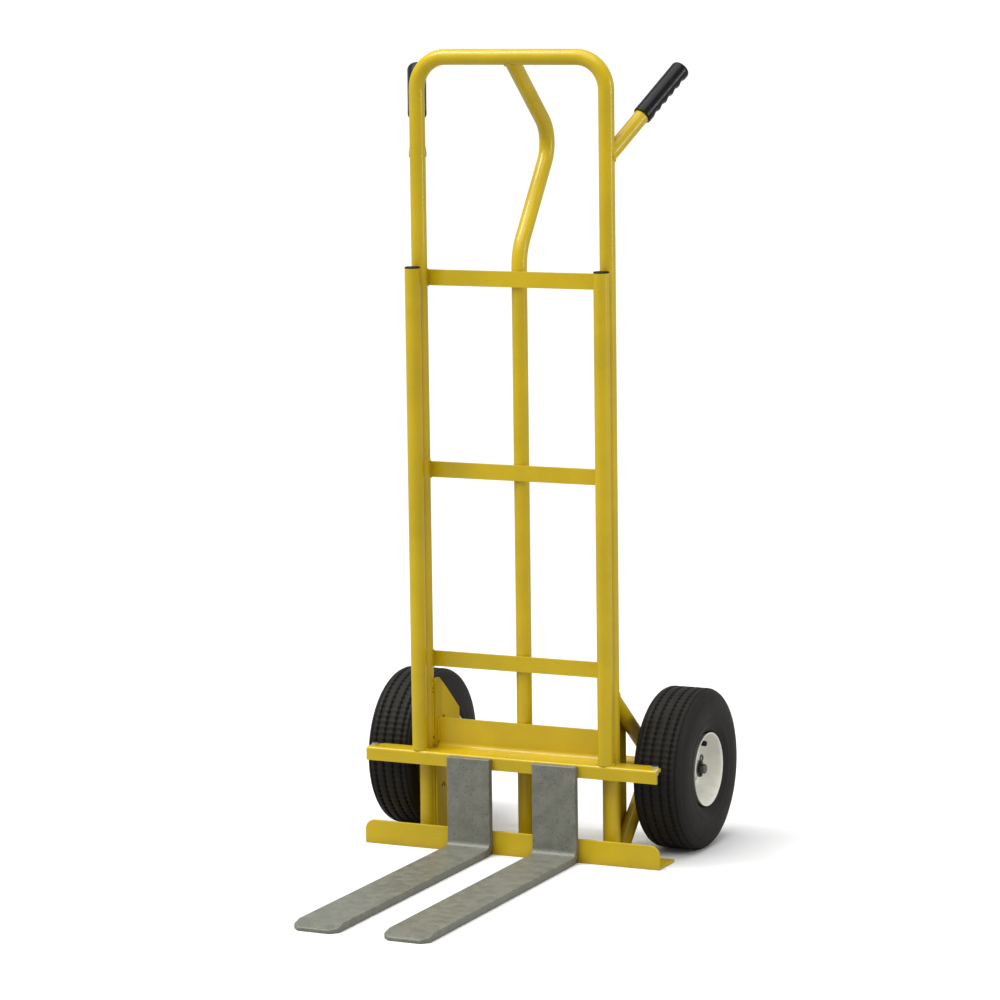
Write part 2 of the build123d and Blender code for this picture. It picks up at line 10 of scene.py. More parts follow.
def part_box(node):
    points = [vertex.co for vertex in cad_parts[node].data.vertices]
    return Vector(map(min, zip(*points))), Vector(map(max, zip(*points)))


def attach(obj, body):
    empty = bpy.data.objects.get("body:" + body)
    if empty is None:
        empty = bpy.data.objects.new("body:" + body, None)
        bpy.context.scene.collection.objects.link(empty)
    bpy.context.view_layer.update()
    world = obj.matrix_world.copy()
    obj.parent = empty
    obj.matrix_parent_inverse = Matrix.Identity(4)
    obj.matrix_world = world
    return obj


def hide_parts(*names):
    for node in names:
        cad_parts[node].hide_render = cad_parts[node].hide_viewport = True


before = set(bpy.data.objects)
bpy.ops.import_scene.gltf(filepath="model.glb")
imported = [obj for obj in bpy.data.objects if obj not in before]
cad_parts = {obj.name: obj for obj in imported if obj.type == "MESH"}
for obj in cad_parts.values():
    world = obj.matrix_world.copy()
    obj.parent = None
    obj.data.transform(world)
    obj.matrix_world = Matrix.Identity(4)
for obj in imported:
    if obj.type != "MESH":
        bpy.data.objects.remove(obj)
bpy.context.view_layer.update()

bl_info = {
    "name": "Hand truck",
    "version": (1, 0, 0),
    "blender": (4, 5, 0),
    "location": "View3D > Sidebar > Hand truck",
    "description": "Finishes, welds, tyres and grips of a fork hand truck around its CAD frame",
    "category": "Object",
}

MM = 0.001
MERGE_DISTANCE = 0.00001
BEVEL_SEGMENTS = 3
SIDES = {"left": -1, "right": 1}

# Sizes read from the frame
LEG_RADIUS = (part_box("front_tube_left")[1][0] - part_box("front_tube_left")[0][0]) / 2
LEG_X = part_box("loop_handle")[1][0] - LEG_RADIUS
LOOP_TOP_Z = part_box("loop_handle")[1][2] - LEG_RADIUS
FRONT_TUBE_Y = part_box("front_tube_left")[0][1] + LEG_RADIUS
SHELF_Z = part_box("front_tube_left")[0][2]
CENTRE_TUBE_RADIUS = (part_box("centre_tube")[1][0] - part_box("centre_tube")[0][0]) / 2
AXLE_TUBE_RADIUS = (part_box("axle_tube")[1][2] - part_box("axle_tube")[0][2]) / 2
STRUT_RADIUS = (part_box("upper_strut_left")[1][0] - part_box("upper_strut_left")[0][0]) / 2
AXLE_Y = (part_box("axle_tube")[0][1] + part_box("axle_tube")[1][1]) / 2
AXLE_Z = (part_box("axle_tube")[0][2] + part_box("axle_tube")[1][2]) / 2

# Side handles: direction and length of each tube from its root on the leg
HANDLE_ROOT_Z = 1.1253
HANDLE_REACH = Vector((0.0679, 0.138, 0.1327))
HANDLE_RADIUS = 12.3 * MM
GRIP_LENGTH = 112 * MM
GRIP_RADIUS = 15.5 * MM
GRIP_END_WALL = 5 * MM
GRIP_DOME = 6 * MM
GRIP_RINGS = 96
GRIP_FINGERS = 5
GRIP_RIB_PITCH = 3.2 * MM
GRIP_RIB_DEPTH = 0.35 * MM

# Tyre tread, in millimetres from the tyre's middle: the ribs, then each rib edge
# with the way its teeth reach, how full a tooth is and how near its edge a point lies
TYRE_RIBS = ((0, 6.1), (10.0, 20.9), (24.8, 31.0))
RIB_EDGES = ((6.1, 1), (10.0, -1), (20.9, 1), (24.8, -1), (31.0, 0.5))
STEPS_PER_TOOTH = 4
TOOTH_SHARE = 0.9
TOOTH_CATCH = 0.8

# Where the centre tube bends and where the struts run
CENTRE_KNEE = Vector((0, 0.1555, 1.149))
STRUT_APEX = Vector((0, 0.167, 0.133))
UPPER_STRUT_ROOT_Z = 0.2685

# Camera: azimuth, pitch and roll in degrees, and its place
CAMERA_TURN = (25.263, 8.187, -0.753)
CAMERA_PLACE = (2.5668, -5.4971, 1.4497)

# The point that every light faces, and the top light's share of the side power
LIGHT_TARGET = Vector((0, 0, 0.6))
TOP_BOX_SHARE = 0.95

PLATES = (
    "crossbar_lower", "crossbar_middle", "crossbar_top", "carriage_shelf", "lower_angle",
    "side_plate_left", "side_plate_right",
)
FORK_PIECES = (
    "fork_left", "fork_right", "upper_hook_left", "upper_hook_right",
    "lower_hook_left", "lower_hook_right",
)


class HandTruckFinish(PropertyGroup):
    enamel: FloatVectorProperty(
        name="Enamel", description="Yellow paint of the frame", subtype="COLOR", size=4,
        default=(0.67, 0.475, 0.004, 1), min=0, max=1,
    )
    # Painted shade: a darker orange laid into corners, creases and between parts where shade falls,
    # not a thicker coat of paint.
    enamel_painted_shade: FloatVectorProperty(
        name="Recess enamel", description="Paint where it lies thick in corners", subtype="COLOR",
        size=4, default=(0.36, 0.17, 0.008, 1), min=0, max=1,
    )
    fork_paint: FloatVectorProperty(
        name="Fork grey", description="Mill grey of the forks", subtype="COLOR", size=4,
        default=(0.152, 0.154, 0.126, 1), min=0, max=1,
    )
    tyre_rubber: FloatVectorProperty(
        name="Tyre rubber", description="Black of the tyres", subtype="COLOR", size=4,
        default=(0.010, 0.009, 0.0075, 1), min=0, max=1,
    )
    rim_paint: FloatVectorProperty(
        name="Rim paint", description="Off-white of the rims", subtype="COLOR", size=4,
        default=(0.93, 0.92, 0.82, 1), min=0, max=1,
    )
    vinyl: FloatVectorProperty(
        name="Vinyl", description="Black of the grips and plugs", subtype="COLOR", size=4,
        default=(0.005, 0.005, 0.0055, 1), min=0, max=1,
    )


class HandTruckDetail(PropertyGroup):
    plate_edge: FloatProperty(
        name="Plate edge", description="Rounding of sheet and bar edges", subtype="DISTANCE",
        unit="LENGTH", default=0.9 * MM, min=0.1 * MM, max=3 * MM,
    )
    fork_edge: FloatProperty(
        name="Fork edge", description="Rounding of the fork bars' long edges",
        subtype="DISTANCE", unit="LENGTH", default=1.8 * MM, min=0.1 * MM, max=4 * MM,
    )
    bead_radius: FloatProperty(
        name="Weld bead", description="Radius of a weld bead", subtype="DISTANCE",
        unit="LENGTH", default=2.2 * MM, min=0.5 * MM, max=4 * MM,
    )
    tyre_teeth: IntProperty(
        name="Tyre teeth", description="Teeth round each rib edge of a tyre", default=84,
        min=20, max=160,
    )
    tooth_depth: FloatProperty(
        name="Tooth depth", description="How far a tooth reaches into its groove",
        subtype="DISTANCE", unit="LENGTH", default=2.6 * MM, min=0, max=6 * MM,
    )
    grip_groove: FloatProperty(
        name="Finger groove", description="Depth of the finger grooves", subtype="DISTANCE",
        unit="LENGTH", default=2.9 * MM, min=0, max=3.1 * MM,
    )


class HandTruckStage(PropertyGroup):
    floor_colour: FloatVectorProperty(
        name="Floor", description="Colour of the floor", subtype="COLOR", size=4,
        default=(0.93, 0.93, 0.93, 1), min=0, max=1,
    )
    floor_bounce: FloatProperty(
        name="Floor bounce", description="Share of light the floor throws back on the truck",
        subtype="FACTOR", default=0.5, min=0, max=1,
    )
    sky_strength: FloatProperty(
        name="Surround", description="Strength of the white surround", default=0.45, min=0,
    )
    key_power: FloatProperty(
        name="Key light", description="Strength of the wide overhead light", default=2.5,
        min=0,
    )
    side_power: FloatProperty(
        name="Side light", description="Power of the light on the right", unit="POWER",
        default=26, min=0,
    )
    lens: FloatProperty(
        name="Lens", description="Focal length in millimetres", subtype="DISTANCE_CAMERA",
        default=137.6, min=1,
    )


# Shader node helpers

def add_node(tree, kind, links=None, **values):
    """Add a node, set its fields and sockets by name, and link its inputs."""
    node = tree.nodes.new(kind)
    for key, value in values.items():
        if hasattr(node, key):
            setattr(node, key, value)
        else:
            node.inputs[key.replace("_", " ")].default_value = value
    for socket, source in (links or {}).items():
        tree.links.new(source, node.inputs[socket])
    return node


def new_group(name, inputs, outputs):
    """Make an effect group; inputs map names to (socket type, default)."""
    tree = bpy.data.node_groups.new(name, "ShaderNodeTree")
    for label, (kind, default) in inputs.items():
        socket = tree.interface.new_socket(label, in_out="INPUT", socket_type=kind)
        if default is not None:
            socket.default_value = default
    for label, kind in outputs.items():
        tree.interface.new_socket(label, in_out="OUTPUT", socket_type=kind)
    return tree, tree.nodes.new("NodeGroupInput"), tree.nodes.new("NodeGroupOutput")


def use_group(tree, name, vector, **values):
    """Place an effect group in a material and give it its values."""
    node = tree.nodes.new("ShaderNodeGroup")
    node.node_tree = bpy.data.node_groups[name]
    tree.links.new(vector, node.inputs["Vector"])
    for key, value in values.items():
        node.inputs[key.replace("_", " ")].default_value = value
    return node


def mix_colour(tree, factor, first, second):
    """Mix two colours; each is a socket or a colour."""
    node = tree.nodes.new("ShaderNodeMix")
    node.data_type = "RGBA"
    for index, value in ((0, factor), (6, first), (7, second)):
        if isinstance(value, bpy.types.NodeSocket):
            tree.links.new(value, node.inputs[index])
        else:
            node.inputs[index].default_value = value
    return node.outputs[2]


def lay_over(tree, mask, share, base, colour):
    """Lay a colour over the base where a mask says, at most by the share."""
    return mix_colour(tree, maths(tree, "MULTIPLY", mask, share), base, colour)


def maths(tree, operation, first, second=None, third=None, clamp=False):
    """A Math node on sockets or numbers."""
    node = tree.nodes.new("ShaderNodeMath")
    node.operation = operation
    node.use_clamp = clamp
    for index, value in enumerate((first, second, third)):
        if isinstance(value, bpy.types.NodeSocket):
            tree.links.new(value, node.inputs[index])
        elif value is not None:
            node.inputs[index].default_value = value
    return node.outputs[0]


def remap(tree, value, low, high, to_low=0.0, to_high=1.0):
    """Map a value from one range to another, clamped and eased."""
    node = tree.nodes.new("ShaderNodeMapRange")
    node.interpolation_type = "SMOOTHSTEP"
    tree.links.new(value, node.inputs["Value"])
    limits = {"From Min": low, "From Max": high, "To Min": to_low, "To Max": to_high}
    for label, number in limits.items():
        node.inputs[label].default_value = number
    return node.outputs["Result"]


def build_groups():
    """The effects that several materials share."""
    number, vector = "NodeSocketFloat", "NodeSocketVector"

    tree, entry, leave = new_group(
        "Orange Peel", {"Vector": (vector, None), "Scale": (number, 420), "Sag": (number, 0.5)},
        {"Height": number},
    )
    fine = add_node(tree, "ShaderNodeTexNoise", {"Vector": entry.outputs["Vector"],
                    "Scale": entry.outputs["Scale"]}, Detail=2.0, Roughness=0.45)
    broad = add_node(tree, "ShaderNodeTexNoise", {"Vector": entry.outputs["Vector"]},
                     Scale=38.0, Detail=1.0)
    swell = maths(tree, "MULTIPLY", broad.outputs["Fac"], entry.outputs["Sag"])
    tree.links.new(maths(tree, "ADD", fine.outputs["Fac"], swell), leave.inputs["Height"])

    tree, entry, leave = new_group(
        "Edge Wear", {"Vector": (vector, None), "Radius": (number, 0.0012),
                      "Reach": (number, 0.25), "Scale": (number, 160)}, {"Mask": number},
    )
    rounded = add_node(tree, "ShaderNodeBevel", {"Radius": entry.outputs["Radius"]}, samples=4)
    surface = add_node(tree, "ShaderNodeNewGeometry")
    facing = add_node(tree, "ShaderNodeVectorMath", {0: rounded.outputs["Normal"],
                      1: surface.outputs["Normal"]}, operation="DOT_PRODUCT")
    edge = maths(tree, "SUBTRACT", 1.0, facing.outputs["Value"])
    patches = add_node(tree, "ShaderNodeTexNoise", {"Vector": entry.outputs["Vector"],
                       "Scale": entry.outputs["Scale"]}, Detail=5.0, Roughness=0.65)
    gate = remap(tree, patches.outputs["Fac"], 0.5, 0.68)
    scaled = maths(tree, "DIVIDE", edge, entry.outputs["Reach"], clamp=True)
    tree.links.new(maths(tree, "MULTIPLY", scaled, gate), leave.inputs["Mask"])

    tree, entry, leave = new_group(
        "Recess Shade", {"Vector": (vector, None), "Reach": (number, 0.02),
                         "Scale": (number, 60)}, {"Mask": number},
    )
    hollow = add_node(tree, "ShaderNodeAmbientOcclusion", {"Distance": entry.outputs["Reach"]},
                      samples=6)
    closed = maths(tree, "SUBTRACT", 1.0, hollow.outputs["AO"])
    uneven = add_node(tree, "ShaderNodeTexNoise", {"Vector": entry.outputs["Vector"],
                      "Scale": entry.outputs["Scale"]}, Detail=3.0)
    strength = remap(tree, uneven.outputs["Fac"], 0.3, 0.7, 0.6, 1.0)
    tree.links.new(maths(tree, "MULTIPLY", remap(tree, closed, 0.25, 0.85), strength),
                   leave.inputs["Mask"])

    tree, entry, leave = new_group(
        "Settled Dust", {"Vector": (vector, None), "Top": (number, 0.3),
                         "Scale": (number, 45)}, {"Mask": number},
    )
    split = add_node(tree, "ShaderNodeSeparateXYZ", {"Vector": entry.outputs["Vector"]})
    low = maths(tree, "SUBTRACT", 1.0,
                maths(tree, "DIVIDE", split.outputs["Z"], entry.outputs["Top"], clamp=True))
    clouds = add_node(tree, "ShaderNodeTexNoise", {"Vector": entry.outputs["Vector"],
                      "Scale": entry.outputs["Scale"]}, Detail=6.0, Roughness=0.6)
    patchy = remap(tree, clouds.outputs["Fac"], 0.42, 0.72)
    surface = add_node(tree, "ShaderNodeNewGeometry")
    up = add_node(tree, "ShaderNodeSeparateXYZ", {"Vector": surface.outputs["Normal"]})
    lying = remap(tree, up.outputs["Z"], -0.1, 0.9, 0.25, 1.0)
    tree.links.new(maths(tree, "MULTIPLY", maths(tree, "MULTIPLY", low, patchy), lying),
                   leave.inputs["Mask"])

    tree, entry, leave = new_group(
        "Mottle", {"Vector": (vector, None), "Scale": (number, 30)},
        {"Value": number, "Fleck": number},
    )
    cloud = add_node(tree, "ShaderNodeTexNoise", {"Vector": entry.outputs["Vector"],
                     "Scale": entry.outputs["Scale"]}, Detail=6.0, Roughness=0.6)
    dots = maths(tree, "MULTIPLY", entry.outputs["Scale"], 11.0)
    cells = add_node(tree, "ShaderNodeTexVoronoi", {"Vector": entry.outputs["Vector"],
                     "Scale": dots}, Randomness=1.0)
    tree.links.new(remap(tree, cloud.outputs["Fac"], 0.3, 0.7), leave.inputs["Value"])
    tree.links.new(remap(tree, cells.outputs["Distance"], 0.24, 0.1), leave.inputs["Fleck"])

    tree, entry, leave = new_group(
        "Drawn Lines", {"Vector": (vector, None), "Stretch": (vector, (1, 1, 1)),
                        "Scale": (number, 900)}, {"Value": number, "Scratch": number},
    )
    pulled = add_node(tree, "ShaderNodeVectorMath", {0: entry.outputs["Vector"],
                      1: entry.outputs["Stretch"]}, operation="MULTIPLY")
    lines = add_node(tree, "ShaderNodeTexNoise", {"Vector": pulled.outputs["Vector"],
                     "Scale": entry.outputs["Scale"]}, Detail=3.0, Roughness=0.55)
    sparse = maths(tree, "MULTIPLY", entry.outputs["Scale"], 0.21)
    scores = add_node(tree, "ShaderNodeTexNoise", {"Vector": pulled.outputs["Vector"],
                      "Scale": sparse}, Detail=2.0, Distortion=0.4)
    tree.links.new(lines.outputs["Fac"], leave.inputs["Value"])
    tree.links.new(remap(tree, scores.outputs["Fac"], 0.66, 0.74), leave.inputs["Scratch"])


def start_material(name):
    """A material with its coordinates, shader and a bump, ready for its own nodes."""
    material = bpy.data.materials.new(name)
    material.use_nodes = True
    tree = material.node_tree
    tree.nodes.clear()
    place = tree.nodes.new("ShaderNodeTexCoord").outputs["Object"]
    shader = tree.nodes.new("ShaderNodeBsdfPrincipled")
    output = tree.nodes.new("ShaderNodeOutputMaterial")
    bump = tree.nodes.new("ShaderNodeBump")
    tree.links.new(shader.outputs["BSDF"], output.inputs["Surface"])
    tree.links.new(bump.outputs["Normal"], shader.inputs["Normal"])
    return material, tree, place, shader, bump


def frame_enamel(finish, name="frame_enamel", gloss=0.36, coat=0.2, dullness=0.27):
    """Yellow frame paint, with the gloss that a piece needs."""
    material, tree, place, shader, bump = start_material(name)
    mottle = use_group(tree, "Mottle", place, Scale=9.0)
    painted_shade = use_group(tree, "Recess Shade", place, Reach=0.028)
    wear = use_group(tree, "Edge Wear", place, Radius=0.0011, Reach=0.3)
    dust = use_group(tree, "Settled Dust", place, Top=0.2, Scale=60.0)
    peel = use_group(tree, "Orange Peel", place, Scale=330.0, Sag=1.6)
    scuffs = use_group(tree, "Drawn Lines", place, Stretch=(1, 0.08, 0.05), Scale=330.0)
    deep = [c * 0.86 for c in finish.enamel[:3]] + [1]
    base = mix_colour(tree, mottle.outputs["Value"], deep, finish.enamel)
    # Painted shade: darker orange laid into corners and recesses by the ambient-occlusion mask.
    base = lay_over(tree, painted_shade.outputs["Mask"], 0.85, base, finish.enamel_painted_shade)
    base = lay_over(tree, dust.outputs["Mask"], 0.22, base, (0.36, 0.30, 0.19, 1))
    base = lay_over(tree, wear.outputs["Mask"], 0.55, base, (0.16, 0.11, 0.05, 1))
    tree.links.new(base, shader.inputs["Base Color"])
    rough = maths(tree, "MULTIPLY_ADD", mottle.outputs["Value"], 0.08, dullness)
    rough = maths(tree, "MULTIPLY_ADD", dust.outputs["Mask"], 0.3, rough)
    rough = maths(tree, "MULTIPLY_ADD", scuffs.outputs["Scratch"], 0.07, rough)
    tree.links.new(rough, shader.inputs["Roughness"])
    shader.inputs["Coat Weight"].default_value = coat
    shader.inputs["Specular IOR Level"].default_value = gloss
    shader.inputs["Coat Roughness"].default_value = 0.08
    bump.inputs["Strength"].default_value = 0.16
    bump.inputs["Distance"].default_value = 0.0006
    tree.links.new(peel.outputs["Height"], bump.inputs["Height"])
    return material


def fork_grey(finish):
    """Mill grey of the forks, specked, scored and worn bright at the edges."""
    material, tree, place, shader, bump = start_material("fork_mill_grey")
    mottle = use_group(tree, "Mottle", place, Scale=55.0)
    speck = use_group(tree, "Mottle", place, Scale=17.0)
    wear = use_group(tree, "Edge Wear", place, Radius=0.003, Reach=0.2, Scale=90.0)
    scored = use_group(tree, "Drawn Lines", place, Stretch=(1, 0.3, 0.2), Scale=900.0)
    cast = use_group(tree, "Orange Peel", place, Scale=900.0, Sag=0.6)
    grit = use_group(tree, "Mottle", place, Scale=420.0)
    light = [c * 1.5 for c in finish.fork_paint[:3]] + [1]
    base = mix_colour(tree, mottle.outputs["Value"], finish.fork_paint, light)
    base = lay_over(tree, grit.outputs["Value"], 0.5, base, light)
    base = lay_over(tree, speck.outputs["Fleck"], 0.75, base, (0.03, 0.03, 0.029, 1))
    base = lay_over(tree, wear.outputs["Mask"], 0.9, base, (0.55, 0.54, 0.52, 1))
    base = lay_over(tree, scored.outputs["Scratch"], 0.12, base, (0.42, 0.42, 0.40, 1))
    tree.links.new(base, shader.inputs["Base Color"])
    metal = maths(tree, "MULTIPLY_ADD", wear.outputs["Mask"], 0.5, 0.12)
    tree.links.new(metal, shader.inputs["Metallic"])
    rough = maths(tree, "MULTIPLY_ADD", mottle.outputs["Value"], 0.16, 0.34)
    tree.links.new(rough, shader.inputs["Roughness"])
    bump.inputs["Strength"].default_value = 0.35
    bump.inputs["Distance"].default_value = 0.0004
    tree.links.new(cast.outputs["Height"], bump.inputs["Height"])
    return material


def tyre_rubber(finish):
    """Black rubber, dusty low down, scuffed on its ribs, with painted shade in its grooves."""
    material, tree, place, shader, bump = start_material("tyre_rubber")
    mottle = use_group(tree, "Mottle", place, Scale=24.0)
    wear = use_group(tree, "Edge Wear", place, Radius=0.0012, Reach=0.4, Scale=240.0)
    painted_shade = use_group(tree, "Recess Shade", place, Reach=0.006, Scale=120.0)
    dust = use_group(tree, "Settled Dust", place, Top=0.4, Scale=70.0)
    skin = use_group(tree, "Orange Peel", place, Scale=1500.0, Sag=0.2)
    pale = [c * 1.7 for c in finish.tyre_rubber[:3]] + [1]
    base = mix_colour(tree, mottle.outputs["Value"], finish.tyre_rubber, pale)
    base = lay_over(tree, wear.outputs["Mask"], 0.5, base, (0.04, 0.037, 0.033, 1))
    base = lay_over(tree, dust.outputs["Mask"], 0.07, base, (0.16, 0.14, 0.12, 1))
    # Painted shade: near-black laid into the grooves and corners by the ambient-occlusion mask.
    base = lay_over(tree, painted_shade.outputs["Mask"], 0.6, base, (0.008, 0.007, 0.007, 1))
    tree.links.new(base, shader.inputs["Base Color"])
    rough = maths(tree, "MULTIPLY_ADD", mottle.outputs["Value"], 0.14, 0.5)
    tree.links.new(rough, shader.inputs["Roughness"])
    shader.inputs["Specular IOR Level"].default_value = 0.2
    bump.inputs["Strength"].default_value = 0.3
    bump.inputs["Distance"].default_value = 0.0003
    tree.links.new(skin.outputs["Height"], bump.inputs["Height"])
    return material


def rim_enamel(finish):
    """Off-white rim paint, with painted shade in its corners."""
    material, tree, place, shader, bump = start_material("rim_enamel")
    mottle = use_group(tree, "Mottle", place, Scale=20.0)
    painted_shade = use_group(tree, "Recess Shade", place, Reach=0.02, Scale=80.0)
    wear = use_group(tree, "Edge Wear", place, Radius=0.0009, Reach=0.3, Scale=200.0)
    dust = use_group(tree, "Settled Dust", place, Top=0.3, Scale=110.0)
    peel = use_group(tree, "Orange Peel", place, Scale=380.0, Sag=0.8)
    dull = [c * 0.88 for c in finish.rim_paint[:3]] + [1]
    base = mix_colour(tree, mottle.outputs["Value"], dull, finish.rim_paint)
    # Painted shade: a dull brown laid into the dish's corners by the ambient-occlusion mask.
    base = lay_over(tree, painted_shade.outputs["Mask"], 0.55, base, (0.30, 0.27, 0.21, 1))
    base = lay_over(tree, dust.outputs["Mask"], 0.25, base, (0.32, 0.28, 0.22, 1))
    base = lay_over(tree, wear.outputs["Mask"], 0.4, base, (0.22, 0.17, 0.12, 1))
    tree.links.new(base, shader.inputs["Base Color"])
    rough = maths(tree, "MULTIPLY_ADD", mottle.outputs["Value"], 0.12, 0.32)
    tree.links.new(rough, shader.inputs["Roughness"])
    shader.inputs["Coat Weight"].default_value = 0.25
    shader.inputs["Coat Roughness"].default_value = 0.12
    bump.inputs["Strength"].default_value = 0.14
    bump.inputs["Distance"].default_value = 0.0005
    tree.links.new(peel.outputs["Height"], bump.inputs["Height"])
    return material


def zinc_plate(name, tint, stretch):
    """Plated or turned steel; stretch draws its lines out."""
    material, tree, place, shader, bump = start_material(name)
    mottle = use_group(tree, "Mottle", place, Scale=120.0)
    lines = use_group(tree, "Drawn Lines", place, Stretch=stretch, Scale=1400.0)
    painted_shade = use_group(tree, "Recess Shade", place, Reach=0.004, Scale=300.0)
    wear = use_group(tree, "Edge Wear", place, Radius=0.0005, Reach=0.3, Scale=500.0)
    dull = [c * 0.72 for c in tint[:3]] + [1]
    base = mix_colour(tree, mottle.outputs["Value"], dull, tint)
    # Painted shade: a dark brown laid into hollows and corners by the ambient-occlusion mask.
    base = lay_over(tree, painted_shade.outputs["Mask"], 0.7, base, (0.12, 0.10, 0.08, 1))
    base = lay_over(tree, wear.outputs["Mask"], 0.6, base, (0.8, 0.79, 0.76, 1))
    tree.links.new(base, shader.inputs["Base Color"])
    shader.inputs["Metallic"].default_value = 1.0
    rough = maths(tree, "MULTIPLY_ADD", lines.outputs["Value"], 0.3, 0.2)
    tree.links.new(rough, shader.inputs["Roughness"])
    bump.inputs["Strength"].default_value = 0.12
    bump.inputs["Distance"].default_value = 0.0002
    tree.links.new(lines.outputs["Value"], bump.inputs["Height"])
    return material


def black_vinyl(name, colour, gloss):
    """Moulded black vinyl, plastic or tube rubber."""
    material, tree, place, shader, bump = start_material(name)
    mottle = use_group(tree, "Mottle", place, Scale=70.0)
    grain = use_group(tree, "Orange Peel", place, Scale=1300.0, Sag=0.3)
    wear = use_group(tree, "Edge Wear", place, Radius=0.001, Reach=0.2, Scale=260.0)
    dust = use_group(tree, "Settled Dust", place, Top=2.4, Scale=160.0)
    pale = [c * 1.5 for c in colour[:3]] + [1]
    base = mix_colour(tree, mottle.outputs["Value"], colour, pale)
    base = lay_over(tree, wear.outputs["Mask"], 0.5, base, (0.03, 0.03, 0.03, 1))
    base = lay_over(tree, dust.outputs["Mask"], 0.05, base, (0.14, 0.13, 0.12, 1))
    tree.links.new(base, shader.inputs["Base Color"])
    rough = maths(tree, "MULTIPLY_ADD", mottle.outputs["Value"], 0.12, gloss)
    tree.links.new(rough, shader.inputs["Roughness"])
    shader.inputs["Specular IOR Level"].default_value = 0.22
    bump.inputs["Strength"].default_value = 0.25
    bump.inputs["Distance"].default_value = 0.0003
    tree.links.new(grain.outputs["Height"], bump.inputs["Height"])
    return material


def dress_nodes(names, material):
    """Give CAD nodes a material in every slot."""
    for name in names:
        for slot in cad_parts[name].material_slots:
            slot.material = material


# Mesh helpers

def finish_mesh(bm, name, material, body, node=None):
    """Turn a bmesh into a piece that rides on a body and takes a finish."""
    mesh = bpy.data.meshes.new(name)
    bm.to_mesh(mesh)
    bm.free()
    piece = bpy.data.objects.new(name, mesh)
    bpy.context.scene.collection.objects.link(piece)
    mesh.materials.append(material)
    for face in mesh.polygons:
        face.use_smooth = True
    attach(piece, body)
    if node:
        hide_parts(node)
    return piece


def round_copy(name, material, body, width):
    """A copy of a flat CAD piece with its sharp edges rounded."""
    bm = bmesh.new()
    bm.from_mesh(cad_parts[name].data)
    bmesh.ops.remove_doubles(bm, verts=bm.verts, dist=MERGE_DISTANCE)
    bmesh.ops.dissolve_limit(
        bm, angle_limit=math.radians(0.6), use_dissolve_boundaries=False,
        verts=bm.verts, edges=bm.edges, delimit={"NORMAL"},
    )
    piece = finish_mesh(bm, f"{name}_finished", material, body, name)
    bevel = piece.modifiers.new("Rounded edges", "BEVEL")
    bevel.width = width
    bevel.segments = BEVEL_SEGMENTS
    bevel.limit_method = "ANGLE"
    bevel.angle_limit = math.radians(40)
    normals = piece.modifiers.new("Flat faces", "WEIGHTED_NORMAL")
    normals.keep_sharp = False
    return piece


def frame_at(point, direction):
    """A matrix whose Z runs along direction, placed at point."""
    turn = direction.to_track_quat("Z", "Y").to_matrix().to_4x4()
    return Matrix.Translation(point) @ turn


def lay_bead(bm, path, radius, closed=False):
    """A rippled weld bead along a path of points."""
    step = 0.9 * MM
    ripple = 3
    points = []
    ends = path + path[:1] if closed else path
    for start, stop in zip(ends, ends[1:]):
        count = max(1, round((stop - start).length / step))
        points += [start.lerp(stop, i / count) for i in range(count)]
    if not closed:
        points.append(path[-1])
    last = len(points) - 1
    first_ring = None
    ring = None
    previous = None
    for index, point in enumerate(points):
        after = points[(index + 1) % len(points)] if closed or index < last else point
        before = points[index - 1] if closed or index else point
        swell = radius * (1 + 0.13 * math.cos(2 * math.pi * index / ripple))
        if not closed:
            swell *= min(1, 0.35 + 0.3 * min(index, last - index))
        place = frame_at(point, after - before) @ Matrix.Scale(swell, 4)
        if ring is None:
            made = bmesh.ops.create_circle(bm, cap_ends=not closed, segments=8, radius=1,
                                           matrix=place)
            ring = made["verts"]
            edges = list({e for v in ring for e in v.link_edges})
            first_ring = edges
        else:
            made = bmesh.ops.extrude_edge_only(bm, edges=edges)
            ring = [g for g in made["geom"] if isinstance(g, bmesh.types.BMVert)]
            edges = [g for g in made["geom"] if isinstance(g, bmesh.types.BMEdge)
                     and all(v in ring for v in g.verts)]
            bmesh.ops.transform(bm, matrix=place @ previous.inverted(), verts=ring)
        previous = place
    if closed:
        bmesh.ops.bridge_loops(bm, edges=edges + first_ring)
    else:
        bmesh.ops.holes_fill(bm, edges=edges, sides=8)


def saddle(centre, parent_axis, parent_radius, direction, radius, steps=48):
    """Where a round branch meets a round tube: points on both surfaces."""
    parent_axis = parent_axis.normalized()
    direction = direction.normalized()
    side = direction.cross(parent_axis).normalized()
    other = side.cross(direction).normalized()
    path = []
    for step in range(steps):
        turn = 2 * math.pi * step / steps
        base = side * math.cos(turn) * radius + other * math.sin(turn) * radius
        flat = base - parent_axis * base.dot(parent_axis)
        slope = direction - parent_axis * direction.dot(parent_axis)
        a = slope.dot(slope)
        b = 2 * flat.dot(slope)
        c = flat.dot(flat) - parent_radius ** 2
        along = (-b + math.sqrt(max(b * b - 4 * a * c, 0))) / (2 * a)
        path.append(centre + base + direction * along)
    return path


# Pieces

